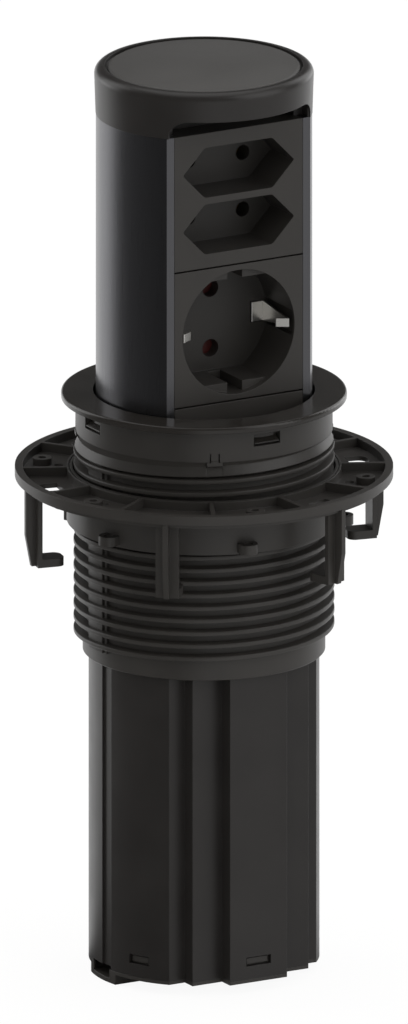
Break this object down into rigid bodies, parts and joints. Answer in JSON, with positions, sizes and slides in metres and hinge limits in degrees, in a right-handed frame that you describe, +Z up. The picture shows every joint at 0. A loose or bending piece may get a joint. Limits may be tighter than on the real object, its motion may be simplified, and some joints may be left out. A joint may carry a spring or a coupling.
{
  "type": "pop up desk socket",
  "caption": "Round socket tower that slides up out of a tube in a desk top and is clamped from below by a threaded ring.",
  "frame": {"origin": "on the tower's axis, at the collar's underside, which is the desk's top surface", "axes": "+Z up along the tower's axis, the flat face with the sockets looks along -Y, +X to its right seen from the face"},
  "size_m": [0.1154, 0.1154, 0.2854],
  "materials": {
    "black_plastic": "satin moulded ABS, black",
    "soft_black_plastic": "fine-grained moulded polycarbonate, black",
    "inlay_plastic": "fine-grained moulded plastic, charcoal",
    "black_anodised": "black anodised extrusion",
    "nickel": "nickel-plated spring strip",
    "brass": "plain brass",
    "red_plastic": "moulded nylon, dark red",
    "steel": "zinc-plated steel",
    "cream_plastic": "moulded nylon, off-white"
  },
  "bodies": {
    "housing": {"collar": "black_plastic", "neck_sleeve": "black_plastic", "guide_ring": "black_plastic", "threaded_sleeve": "black_plastic", "outer_tube": "black_plastic", "base_cover": "black_plastic", "cable_bush": "soft_black_plastic"},
    "slip_ring": {"slip_ring": "soft_black_plastic"},
    "clamp_ring": {"clamp_ring": "black_plastic"},
    "tower": {"tower_profile": "black_anodised", "top_cap": "black_plastic", "cap_inlay": "inlay_plastic", "cap_screws": "steel", "two_pin_faceplate": "soft_black_plastic", "two_pin_carrier": "cream_plastic", "two_pin_contacts": "brass", "earthed_faceplate": "soft_black_plastic", "earthed_carrier": "cream_plastic", "earthed_contacts": "brass", "earth_clip": "nickel", "lower_plate": "soft_black_plastic", "live_bar": "brass", "neutral_bar": "brass", "earth_bar": "brass", "terminal_block": "cream_plastic", "terminal_screws": "steel", "tower_foot": "black_plastic", "foot_screws": "steel", "shutter_spring": "steel", "brake_spring_left": "steel", "brake_spring_right": "steel"},
    "shutter": {"pin_shutter": "red_plastic"},
    "shoe_left": {"brake_shoe_left": "soft_black_plastic"},
    "shoe_right": {"brake_shoe_right": "soft_black_plastic"}
  },
  "joints": [
    {"name": "tower_lift", "type": "slide", "parent": "housing", "child": "tower", "axis": [0, 0, 1], "range_m": [-0.0877, 0]},
    {"name": "ring_rise", "type": "slide", "parent": "housing", "child": "slip_ring", "axis": [0, 0, 1], "range_m": [-0.032, 0.008]},
    {"name": "ring_turn", "type": "hinge", "parent": "slip_ring", "child": "clamp_ring", "pos_m": [0, 0, 0], "axis": [0, 0, 1], "range_deg": [-2880, 720]},
    {"name": "shutter_slide", "type": "slide", "parent": "tower", "child": "shutter", "axis": [1, 0, 0], "range_m": [0, 0.0064], "stiffness_N_per_m": 40, "springref_m": -0.004, "deforming": ["shutter_spring"]},
    {"name": "brake_left", "type": "slide", "parent": "tower", "child": "shoe_left", "axis": [1, 0, 0], "range_m": [0, 0.0005], "stiffness_N_per_m": 800, "springref_m": -0.001, "deforming": ["brake_spring_left"]},
    {"name": "brake_right", "type": "slide", "parent": "tower", "child": "shoe_right", "axis": [-1, 0, 0], "range_m": [0, 0.0005], "stiffness_N_per_m": 800, "springref_m": -0.001, "deforming": ["brake_spring_right"]}
  ],
  "couplings": [
    {"joint": "ring_rise", "follows": "ring_turn", "m_per_rad": 0.00063662}
  ]
}
